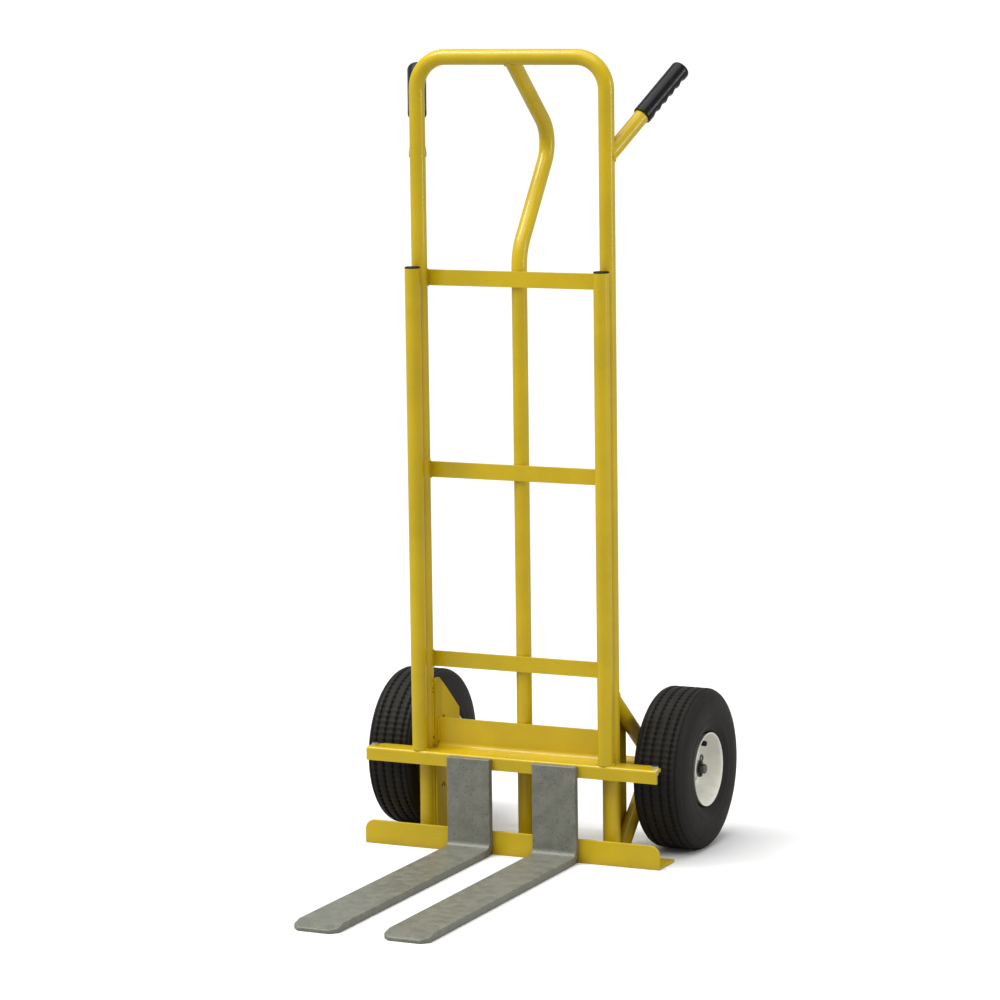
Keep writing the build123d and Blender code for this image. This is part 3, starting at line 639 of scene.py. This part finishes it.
class HANDTRUCK_OT_finishes(Operator):
    """Build the shared effects and every finish, and paint the CAD nodes"""
    bl_idname = "handtruck.finishes"
    bl_label = "Finishes"

    def execute(self, context):
        finish = context.scene.hand_truck_finish
        build_groups()
        enamel = frame_enamel(finish)
        frame_enamel(finish, "side_plate_enamel", gloss=0.1, coat=0, dullness=0.45)
        fork_grey(finish)
        tyre_rubber(finish)
        rim = rim_enamel(finish)
        zinc = zinc_plate("zinc_plate", (0.68, 0.67, 0.64, 1), (1, 1, 1))
        dulled = zinc_plate("dulled_zinc", (0.16, 0.155, 0.14, 1), (1, 1, 1))
        steel = zinc_plate("turned_steel", (0.12, 0.12, 0.115, 1), (1, 0.1, 0.1))
        black_vinyl("grip_vinyl", finish.vinyl, 0.17)
        plastic = black_vinyl("plug_plastic", finish.vinyl, 0.5)
        tube = black_vinyl("inner_tube_rubber", finish.tyre_rubber, 0.6)
        dress_nodes(["loop_handle", "centre_tube", "axle_tube"], enamel)
        dress_nodes(["axle_rod"], steel)
        dress_nodes(["axle_washers", "axle_cotters"], dulled)
        dress_nodes(["stop_bolts", "stop_nuts"], zinc)
        for side in SIDES:
            dress_nodes([f"front_tube_{side}", f"side_handle_{side}", f"upper_strut_{side}",
                         f"lower_strut_{side}"], enamel)
            dress_nodes([f"rim_bolts_{side}", f"rim_nuts_{side}"], dulled)
            dress_nodes([f"bearings_{side}"], steel)
            dress_nodes([f"hub_{side}"], rim)
            dress_nodes([f"tube_plug_{side}", f"valve_cap_{side}"], plastic)
            dress_nodes([f"inner_tube_{side}", f"valve_stem_{side}"], tube)
        return {"FINISHED"}


class HANDTRUCK_OT_plates(Operator):
    """Round the edges of the crossbars, shelf, lower angle and side plates"""
    bl_idname = "handtruck.plates"
    bl_label = "Plates and bars"

    def execute(self, context):
        width = context.scene.hand_truck_detail.plate_edge
        for name in PLATES:
            finish = "side_plate_enamel" if name.startswith("side_plate") else "frame_enamel"
            round_copy(name, bpy.data.materials[finish], "frame", width)
        return {"FINISHED"}


class HANDTRUCK_OT_forks(Operator):
    """Round the edges of the forks and their hooks"""
    bl_idname = "handtruck.forks"
    bl_label = "Forks"

    def execute(self, context):
        detail = context.scene.hand_truck_detail
        material = bpy.data.materials["fork_mill_grey"]
        for name in FORK_PIECES:
            side = name.rsplit("_", 1)[1]
            width = detail.fork_edge if name.startswith("fork") else detail.plate_edge
            round_copy(name, material, f"fork_{side}", width)
        return {"FINISHED"}


class HANDTRUCK_OT_tyres(Operator):
    """Spin each tyre, with toothed ribs, shoulder and sidewall rings"""
    bl_idname = "handtruck.tyres"
    bl_label = "Tyres"

    def execute(self, context):
        detail = context.scene.hand_truck_detail
        for side in SIDES:
            low, high = (Vector(corner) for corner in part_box(f"tyre_{side}"))
            centre = (low + high) / 2
            radius = (high.z - low.z) / 2
            half = (high.x - low.x) / 2
            finish_mesh(
                self.tyre(detail, centre, radius, half), f"tyre_{side}_tread",
                bpy.data.materials["tyre_rubber"], f"wheel_{side}",
                f"tyre_{side}",
            )
        return {"FINISHED"}

    def tyre(self, detail, centre, radius, half):
        """The tyre's section, as distance from the middle and radius in millimetres."""
        crown = radius / MM
        wide = half / MM
        outer = []
        groove = crown - 4.2
        for start, stop in TYRE_RIBS:
            if start:
                outer += [(start - 0.9, groove), (start, crown - 0.7), (start + 0.7, crown - 0.15)]
            drop = stop * 0.012
            outer += [(stop - 0.7, crown - 0.15 - drop), (stop, crown - 0.7 - drop)]
            if stop < TYRE_RIBS[-1][1]:
                outer.append((stop + 0.9, groove))
        outer += [
            (32.6, crown - 4.4), (33.6, crown - 4.4), (34.4, crown - 2.4), (36.0, crown - 3.4),
            (39.2, crown - 7.0), (41.2, crown - 11.5), (41.8, crown - 16.0), (42.6, crown - 17.2),
            (43.1, crown - 20.0), (wide - 0.3, crown - 27), (wide, crown - 35),
            (wide - 0.1, crown - 44), (42.9, crown - 50.5), (43.3, crown - 52.0),
            (42.8, crown - 53.6), (41.6, crown - 58), (39.4, crown - 63), (38.6, crown - 65.2),
            (38.2, crown - 67.4), (36.4, crown - 69.6), (35.4, 60.3), (33.0, 59.8),
            (26.4, 59.6), (26.5, 62), (33.5, 65), (37.4, 78), (38.2, 92), (34, 112),
            (26, crown - 11), (0, crown - 10.5),
        ]
        section = [(-x, r) for x, r in reversed(outer) if x > 0] + outer
        steps = detail.tyre_teeth * STEPS_PER_TOOTH
        bm = bmesh.new()
        verts = [bm.verts.new(centre + Vector((x * MM, 0, r * MM))) for x, r in section]
        edges = [bm.edges.new(pair) for pair in zip(verts, verts[1:] + verts[:1])]
        bmesh.ops.spin(
            bm, geom=verts + edges, cent=centre, axis=(1, 0, 0), angle=2 * math.pi,
            steps=steps, use_merge=True, use_duplicate=False,
        )
        bmesh.ops.remove_doubles(bm, verts=bm.verts, dist=MERGE_DISTANCE)
        bmesh.ops.recalc_face_normals(bm, faces=bm.faces)
        for vert in bm.verts:
            arm = vert.co - centre
            reach = math.hypot(arm.y, arm.z) / MM
            if reach < crown - 1.9:
                continue
            turn = math.atan2(arm.y, arm.z) / (2 * math.pi) * steps
            tooth = (round(turn) % STEPS_PER_TOOTH) // 2
            for edge_x, way in RIB_EDGES:
                if abs(abs(arm.x) / MM - edge_x) < TOOTH_CATCH:
                    shift = way * (tooth - 0.5) * detail.tooth_depth * TOOTH_SHARE
                    vert.co.x += shift * math.copysign(1, arm.x)
        return bm


class HANDTRUCK_OT_rims(Operator):
    """Spin the dished halves of each rim, with their rolled flanges"""
    bl_idname = "handtruck.rims"
    bl_label = "Rims"

    def execute(self, context):
        for side, sign in SIDES.items():
            low, high = (Vector(corner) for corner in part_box(f"tyre_{side}"))
            centre = (low + high) / 2
            for half, facing in (("outer", sign), ("inner", -sign)):
                finish_mesh(
                    self.dish(centre, facing), f"rim_{half}_{side}_dished",
                    bpy.data.materials["rim_enamel"], f"wheel_{side}",
                    f"rim_{half}_{side}",
                )
        return {"FINISHED"}

    def dish(self, centre, facing):
        """One pressed half: distance from the wheel's middle and radius in millimetres."""
        face = [
            (2.0, 14.6), (2.0, 25), (2.0, 35), (2.2, 37.5), (2.9, 40), (4.4, 43), (7, 46.4),
            (11, 49.4), (16, 51.6), (23, 53.6), (30, 55), (36, 56), (38.4, 56.6), (39.8, 57.4),
            (40.7, 58.5), (40.9, 59.3), (40.6, 59.8), (40, 60),
        ]
        back = [
            (38.8, 59.9), (38, 59.2), (37, 58.2), (30, 57.2), (22, 55.8), (14, 53.6), (8, 51),
            (3.6, 47.6), (1.2, 44), (0.2, 40.5), (0.1, 36), (0.1, 25), (0.1, 14.6),
        ]
        bm = bmesh.new()
        section = face + back
        verts = [bm.verts.new(centre + Vector((facing * x * MM, 0, r * MM))) for x, r in section]
        edges = [bm.edges.new(pair) for pair in zip(verts, verts[1:] + verts[:1])]
        bmesh.ops.spin(
            bm, geom=verts + edges, cent=centre, axis=(1, 0, 0), angle=2 * math.pi,
            steps=96, use_merge=True, use_duplicate=False,
        )
        bmesh.ops.remove_doubles(bm, verts=bm.verts, dist=MERGE_DISTANCE)
        bmesh.ops.recalc_face_normals(bm, faces=bm.faces)
        return bm


class HANDTRUCK_OT_grips(Operator):
    """Mould each grip, with finger ridges below and fine ribs above"""
    bl_idname = "handtruck.grips"
    bl_label = "Grips"

    def execute(self, context):
        detail = context.scene.hand_truck_detail
        for side, sign in SIDES.items():
            root = Vector((sign * LEG_X, 0, HANDLE_ROOT_Z))
            reach = Vector((sign * HANDLE_REACH.x, HANDLE_REACH.y, HANDLE_REACH.z))
            piece = finish_mesh(
                self.grip(detail, root, reach), f"grip_{side}_moulded",
                bpy.data.materials["grip_vinyl"], "frame", f"grip_{side}",
            )
            smooth = piece.modifiers.new("Smooth", "SUBSURF")
            smooth.levels = 1
            smooth.render_levels = 1
        return {"FINISHED"}

    def grip(self, detail, root, reach):
        along = reach.normalized()
        start = reach.length + GRIP_END_WALL - GRIP_LENGTH
        under = (along * along.z - Vector((0, 0, 1))).normalized()
        side = along.cross(under)
        turn = Matrix((under, side, along)).transposed().to_4x4()
        place = Matrix.Translation(root + along * start) @ turn
        bm = bmesh.new()
        made = bmesh.ops.create_circle(bm, cap_ends=False, segments=40,
                                       radius=HANDLE_RADIUS + 0.05 * MM, matrix=Matrix())
        edges = list({e for v in made["verts"] for e in v.link_edges})
        # Ring places along the grip and their radii: mouth, body, then the domed end.
        stations = [(0.0, GRIP_RADIUS - 1.2 * MM), (0.6 * MM, GRIP_RADIUS - 0.3 * MM)]
        mouth = 1.6 * MM
        body = GRIP_LENGTH - GRIP_DOME
        for index in range(GRIP_RINGS):
            stations.append((mouth + (body - mouth) * index / (GRIP_RINGS - 1), GRIP_RADIUS))
        for step in range(1, 7):
            bend = math.pi / 2 * step / 6
            stations.append((body + GRIP_DOME * math.sin(bend),
                             GRIP_RADIUS - GRIP_DOME * (1 - math.cos(bend))))
        stations.append((GRIP_LENGTH, 2 * MM))
        for height, radius in stations:
            made = bmesh.ops.extrude_edge_only(bm, edges=edges)
            ring = [g for g in made["geom"] if isinstance(g, bmesh.types.BMVert)]
            edges = [g for g in made["geom"] if isinstance(g, bmesh.types.BMEdge)
                     and all(v in ring for v in g.verts)]
            phase = (height - 12 * MM) / (GRIP_LENGTH - 24 * MM)
            inside = max(0, min(1, phase))
            finger = 0.5 - 0.5 * math.cos(2 * math.pi * GRIP_FINGERS * inside)
            rib = 0.5 - 0.5 * math.cos(2 * math.pi * height / GRIP_RIB_PITCH)
            for vert in ring:
                angle = math.atan2(vert.co.y, vert.co.x)
                below = max(0, math.cos(angle)) ** 1.5
                above = max(0, math.cos(angle + math.pi)) ** 0.8
                depth = detail.grip_groove * finger * below
                if 0 < phase < 1:
                    depth += GRIP_RIB_DEPTH * rib * above
                vert.co = Vector((math.cos(angle), math.sin(angle), 0)) * (radius - depth)
                vert.co.z = height
        bmesh.ops.holes_fill(bm, edges=edges, sides=0)
        bmesh.ops.recalc_face_normals(bm, faces=bm.faces)
        bmesh.ops.transform(bm, matrix=place, verts=bm.verts)
        return bm


class HANDTRUCK_OT_welds(Operator):
    """Lay the weld beads that join the frame"""
    bl_idname = "handtruck.welds"
    bl_label = "Welds"

    def execute(self, context):
        radius = context.scene.hand_truck_detail.bead_radius
        enamel = bpy.data.materials["frame_enamel"]
        for name, paths in self.seams().items():
            bm = bmesh.new()
            for path, closed in paths:
                lay_bead(bm, path, radius, closed)
            bmesh.ops.recalc_face_normals(bm, faces=bm.faces)
            finish_mesh(bm, f"weld_{name}", enamel, "frame")
        return {"FINISHED"}

    def seams(self):
        """Each joint's name with its bead paths and whether each closes."""
        up = Vector((0, 0, 1))
        across = Vector((1, 0, 0))
        seams = {"crossbars": [], "handles": [], "centre_tube": [], "struts": [],
                 "carriage": [], "front_tubes": []}
        knee_run = CENTRE_KNEE - Vector((0, 0, LOOP_TOP_Z))
        seams["centre_tube"].append((
            saddle(Vector((0, 0, LOOP_TOP_Z)), across, LEG_RADIUS, knee_run,
                   CENTRE_TUBE_RADIUS), True))
        for bar in ("crossbar_lower", "crossbar_middle", "crossbar_top"):
            low, high = (Vector(corner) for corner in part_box(bar))
            for sign in SIDES.values():
                gap = math.sqrt(LEG_RADIUS ** 2 - low.y ** 2)
                front_x = sign * (LEG_X - gap)
                rear_x = sign * (LEG_X - 5 * MM)
                seams["crossbars"].append(([
                    Vector((rear_x, high.y, high.z)), Vector((front_x, low.y, high.z)),
                    Vector((front_x, low.y, low.z)), Vector((rear_x, high.y, low.z)),
                ], False))
                seams["centre_tube"].append(([
                    Vector((sign * 5 * MM, high.y + 1 * MM, low.z + 2 * MM)),
                    Vector((sign * 5 * MM, high.y + 1 * MM, high.z - 2 * MM)),
                ], False))
        for sign in SIDES.values():
            root = Vector((sign * LEG_X, 0, HANDLE_ROOT_Z))
            reach = Vector((sign * HANDLE_REACH.x, HANDLE_REACH.y, HANDLE_REACH.z))
            seams["handles"].append((saddle(root, up, LEG_RADIUS, reach, HANDLE_RADIUS), True))
            leg = Vector((sign * LEG_X, 0, UPPER_STRUT_ROOT_Z))
            apex = Vector((sign * LEG_X, STRUT_APEX.y, STRUT_APEX.z))
            seams["struts"].append((saddle(leg, up, LEG_RADIUS, apex - leg, STRUT_RADIUS), True))
            axle = Vector((sign * LEG_X, AXLE_Y, AXLE_Z))
            ring = [axle + Vector((sign * (STRUT_RADIUS + 0.5 * MM),
                    (AXLE_TUBE_RADIUS + 0.6 * MM) * math.cos(math.pi * k / 16),
                    (AXLE_TUBE_RADIUS + 0.6 * MM) * math.sin(math.pi * k / 16)))
                    for k in range(32)]
            seams["struts"].append((ring, True))
            inner_x = sign * (LEG_X - LEG_RADIUS + 0.5 * MM)
            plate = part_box("side_plate_right")
            for low_z, high_z in ((plate[0][2] + 3 * MM, SHELF_Z - 8 * MM),
                                  (SHELF_Z + 3 * MM, plate[1][2] - 6 * MM)):
                seams["carriage"].append(([Vector((inner_x, -1 * MM, low_z)),
                                           Vector((inner_x, -1 * MM, high_z))], False))
            face_x = sign * (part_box("side_plate_right")[0][0] - 0.4 * MM)
            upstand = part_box("carriage_shelf")[1]
            seams["carriage"].append(([Vector((face_x, upstand[1] - 5 * MM, SHELF_Z + 8 * MM)),
                                       Vector((face_x, upstand[1] - 5 * MM, upstand[2] - 2 * MM))],
                                      False))
            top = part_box("front_tube_right")[1][2]
            for height in (top - 30 * MM, top * 0.62 + 50 * MM, top * 0.4, SHELF_Z + 60 * MM):
                for inward in (-1, 1):
                    x = sign * LEG_X + inward * 4.5 * MM
                    seams["front_tubes"].append(([
                        Vector((x, FRONT_TUBE_Y / 2, height)),
                        Vector((x, FRONT_TUBE_Y / 2, height + 24 * MM))], False))
            foot = [Vector((sign * LEG_X + (LEG_RADIUS + 0.4 * MM) * math.cos(t),
                            FRONT_TUBE_Y + (LEG_RADIUS + 0.4 * MM) * math.sin(t),
                            SHELF_Z + 0.4 * MM))
                    for t in (math.radians(a) for a in range(-20, 201, 10))]
            seams["front_tubes"].append((foot, False))
        return seams


class HANDTRUCK_OT_stage(Operator):
    """Set the floor, the lights and the camera"""
    bl_idname = "handtruck.stage"
    bl_label = "Stage"

    def execute(self, context):
        stage = context.scene.hand_truck_stage
        self.floor(context, stage)
        self.lights(context, stage)
        self.camera(context, stage)
        return {"FINISHED"}

    def floor(self, context, stage):
        bm = bmesh.new()
        bmesh.ops.create_grid(bm, x_segments=1, y_segments=1, size=30)
        mesh = bpy.data.meshes.new("floor")
        bm.to_mesh(mesh)
        bm.free()
        floor = bpy.data.objects.new("floor", mesh)
        context.scene.collection.objects.link(floor)
        material = bpy.data.materials.new("floor_white")
        material.use_nodes = True
        tree = material.node_tree
        shader = tree.nodes["Principled BSDF"]
        path = tree.nodes.new("ShaderNodeLightPath")
        dim = [c * stage.floor_bounce for c in stage.floor_colour[:3]] + [1]
        seen = mix_colour(tree, path.outputs["Is Camera Ray"], dim, stage.floor_colour)
        tree.links.new(seen, shader.inputs["Base Color"])
        shader.inputs["Roughness"].default_value = 0.9
        shader.inputs["Specular IOR Level"].default_value = 0.1
        mesh.materials.append(material)

    def lights(self, context, stage):
        world = bpy.data.worlds.new("studio")
        world.use_nodes = True
        tree = world.node_tree
        white_wall = tree.nodes["Background"]
        white_wall.inputs["Color"].default_value = (1, 1, 1, 1)
        white_wall.inputs["Strength"].default_value = 1.05
        surround = tree.nodes.new("ShaderNodeBackground")
        surround.inputs["Color"].default_value = (1, 1, 1, 1)
        surround.inputs["Strength"].default_value = stage.sky_strength
        path = tree.nodes.new("ShaderNodeLightPath")
        choose = tree.nodes.new("ShaderNodeMixShader")
        tree.links.new(path.outputs["Is Camera Ray"], choose.inputs["Fac"])
        tree.links.new(surround.outputs["Background"], choose.inputs[1])
        tree.links.new(white_wall.outputs["Background"], choose.inputs[2])
        tree.links.new(choose.outputs["Shader"], tree.nodes["World Output"].inputs["Surface"])
        context.scene.world = world
        context.scene.view_settings.view_transform = "Standard"
        for name, kind, place, size, power in (
            ("overhead", "SUN", Vector((-0.6, -1.05, 3.6)), math.radians(70), stage.key_power),
            ("top_box", "AREA", Vector((-1.3, -0.75, 3.1)), 0.24, stage.side_power * TOP_BOX_SHARE),
            ("right_strip", "AREA", Vector((3.4, 0.4, 1.5)), 0.34, stage.side_power),
        ):
            light = bpy.data.lights.new(name, kind)
            if kind == "SUN":
                light.angle = size
            else:
                light.shape = "RECTANGLE"
                light.size = size
                light.size_y = size * 5
            light.energy = power
            lamp = bpy.data.objects.new(name, light)
            lamp.matrix_world = Matrix.Translation(place) @ (
                (LIGHT_TARGET - place).to_track_quat("-Z", "Y").to_matrix().to_4x4()
            )
            context.scene.collection.objects.link(lamp)

    def camera(self, context, stage):
        azimuth, pitch, roll = (math.radians(angle) for angle in CAMERA_TURN)
        forward = Vector((-math.sin(azimuth) * math.cos(pitch),
                          math.cos(azimuth) * math.cos(pitch), -math.sin(pitch)))
        level = Vector((math.cos(azimuth), math.sin(azimuth), 0))
        top = level.cross(forward)
        right = level * math.cos(roll) + top * math.sin(roll)
        upward = top * math.cos(roll) - level * math.sin(roll)
        lens = bpy.data.cameras.new("camera")
        lens.lens = stage.lens
        lens.sensor_width = 36
        lens.clip_end = 80
        camera = bpy.data.objects.new("camera", lens)
        turn = Matrix((right, upward, -forward)).transposed().to_4x4()
        camera.matrix_world = Matrix.Translation(CAMERA_PLACE) @ turn
        context.scene.collection.objects.link(camera)
        context.scene.camera = camera


STEPS = (
    HANDTRUCK_OT_finishes, HANDTRUCK_OT_plates, HANDTRUCK_OT_forks, HANDTRUCK_OT_tyres,
    HANDTRUCK_OT_rims, HANDTRUCK_OT_grips, HANDTRUCK_OT_welds, HANDTRUCK_OT_stage,
)


class HANDTRUCK_PT_panel(Panel):
    bl_label = "Hand truck"
    bl_idname = "HANDTRUCK_PT_panel"
    bl_space_type = "VIEW_3D"
    bl_region_type = "UI"
    bl_category = "Hand truck"

    def draw(self, context):
        layout = self.layout
        for step in STEPS:
            layout.operator(step.bl_idname)
        for group in (context.scene.hand_truck_finish, context.scene.hand_truck_detail,
                      context.scene.hand_truck_stage):
            for name in type(group).__annotations__:
                layout.prop(group, name)


CLASSES = (HandTruckFinish, HandTruckDetail, HandTruckStage, *STEPS, HANDTRUCK_PT_panel)


def register():
    for item in CLASSES:
        bpy.utils.register_class(item)
    bpy.types.Scene.hand_truck_finish = PointerProperty(type=HandTruckFinish)
    bpy.types.Scene.hand_truck_detail = PointerProperty(type=HandTruckDetail)
    bpy.types.Scene.hand_truck_stage = PointerProperty(type=HandTruckStage)


def unregister():
    del bpy.types.Scene.hand_truck_stage
    del bpy.types.Scene.hand_truck_detail
    del bpy.types.Scene.hand_truck_finish
    for item in reversed(CLASSES):
        bpy.utils.unregister_class(item)


def main():
    register()
    bpy.ops.handtruck.finishes()
    bpy.ops.handtruck.plates()
    bpy.ops.handtruck.forks()
    bpy.ops.handtruck.tyres()
    bpy.ops.handtruck.rims()
    bpy.ops.handtruck.grips()
    bpy.ops.handtruck.welds()
    bpy.ops.handtruck.stage()


if __name__ == "__main__":
    main()
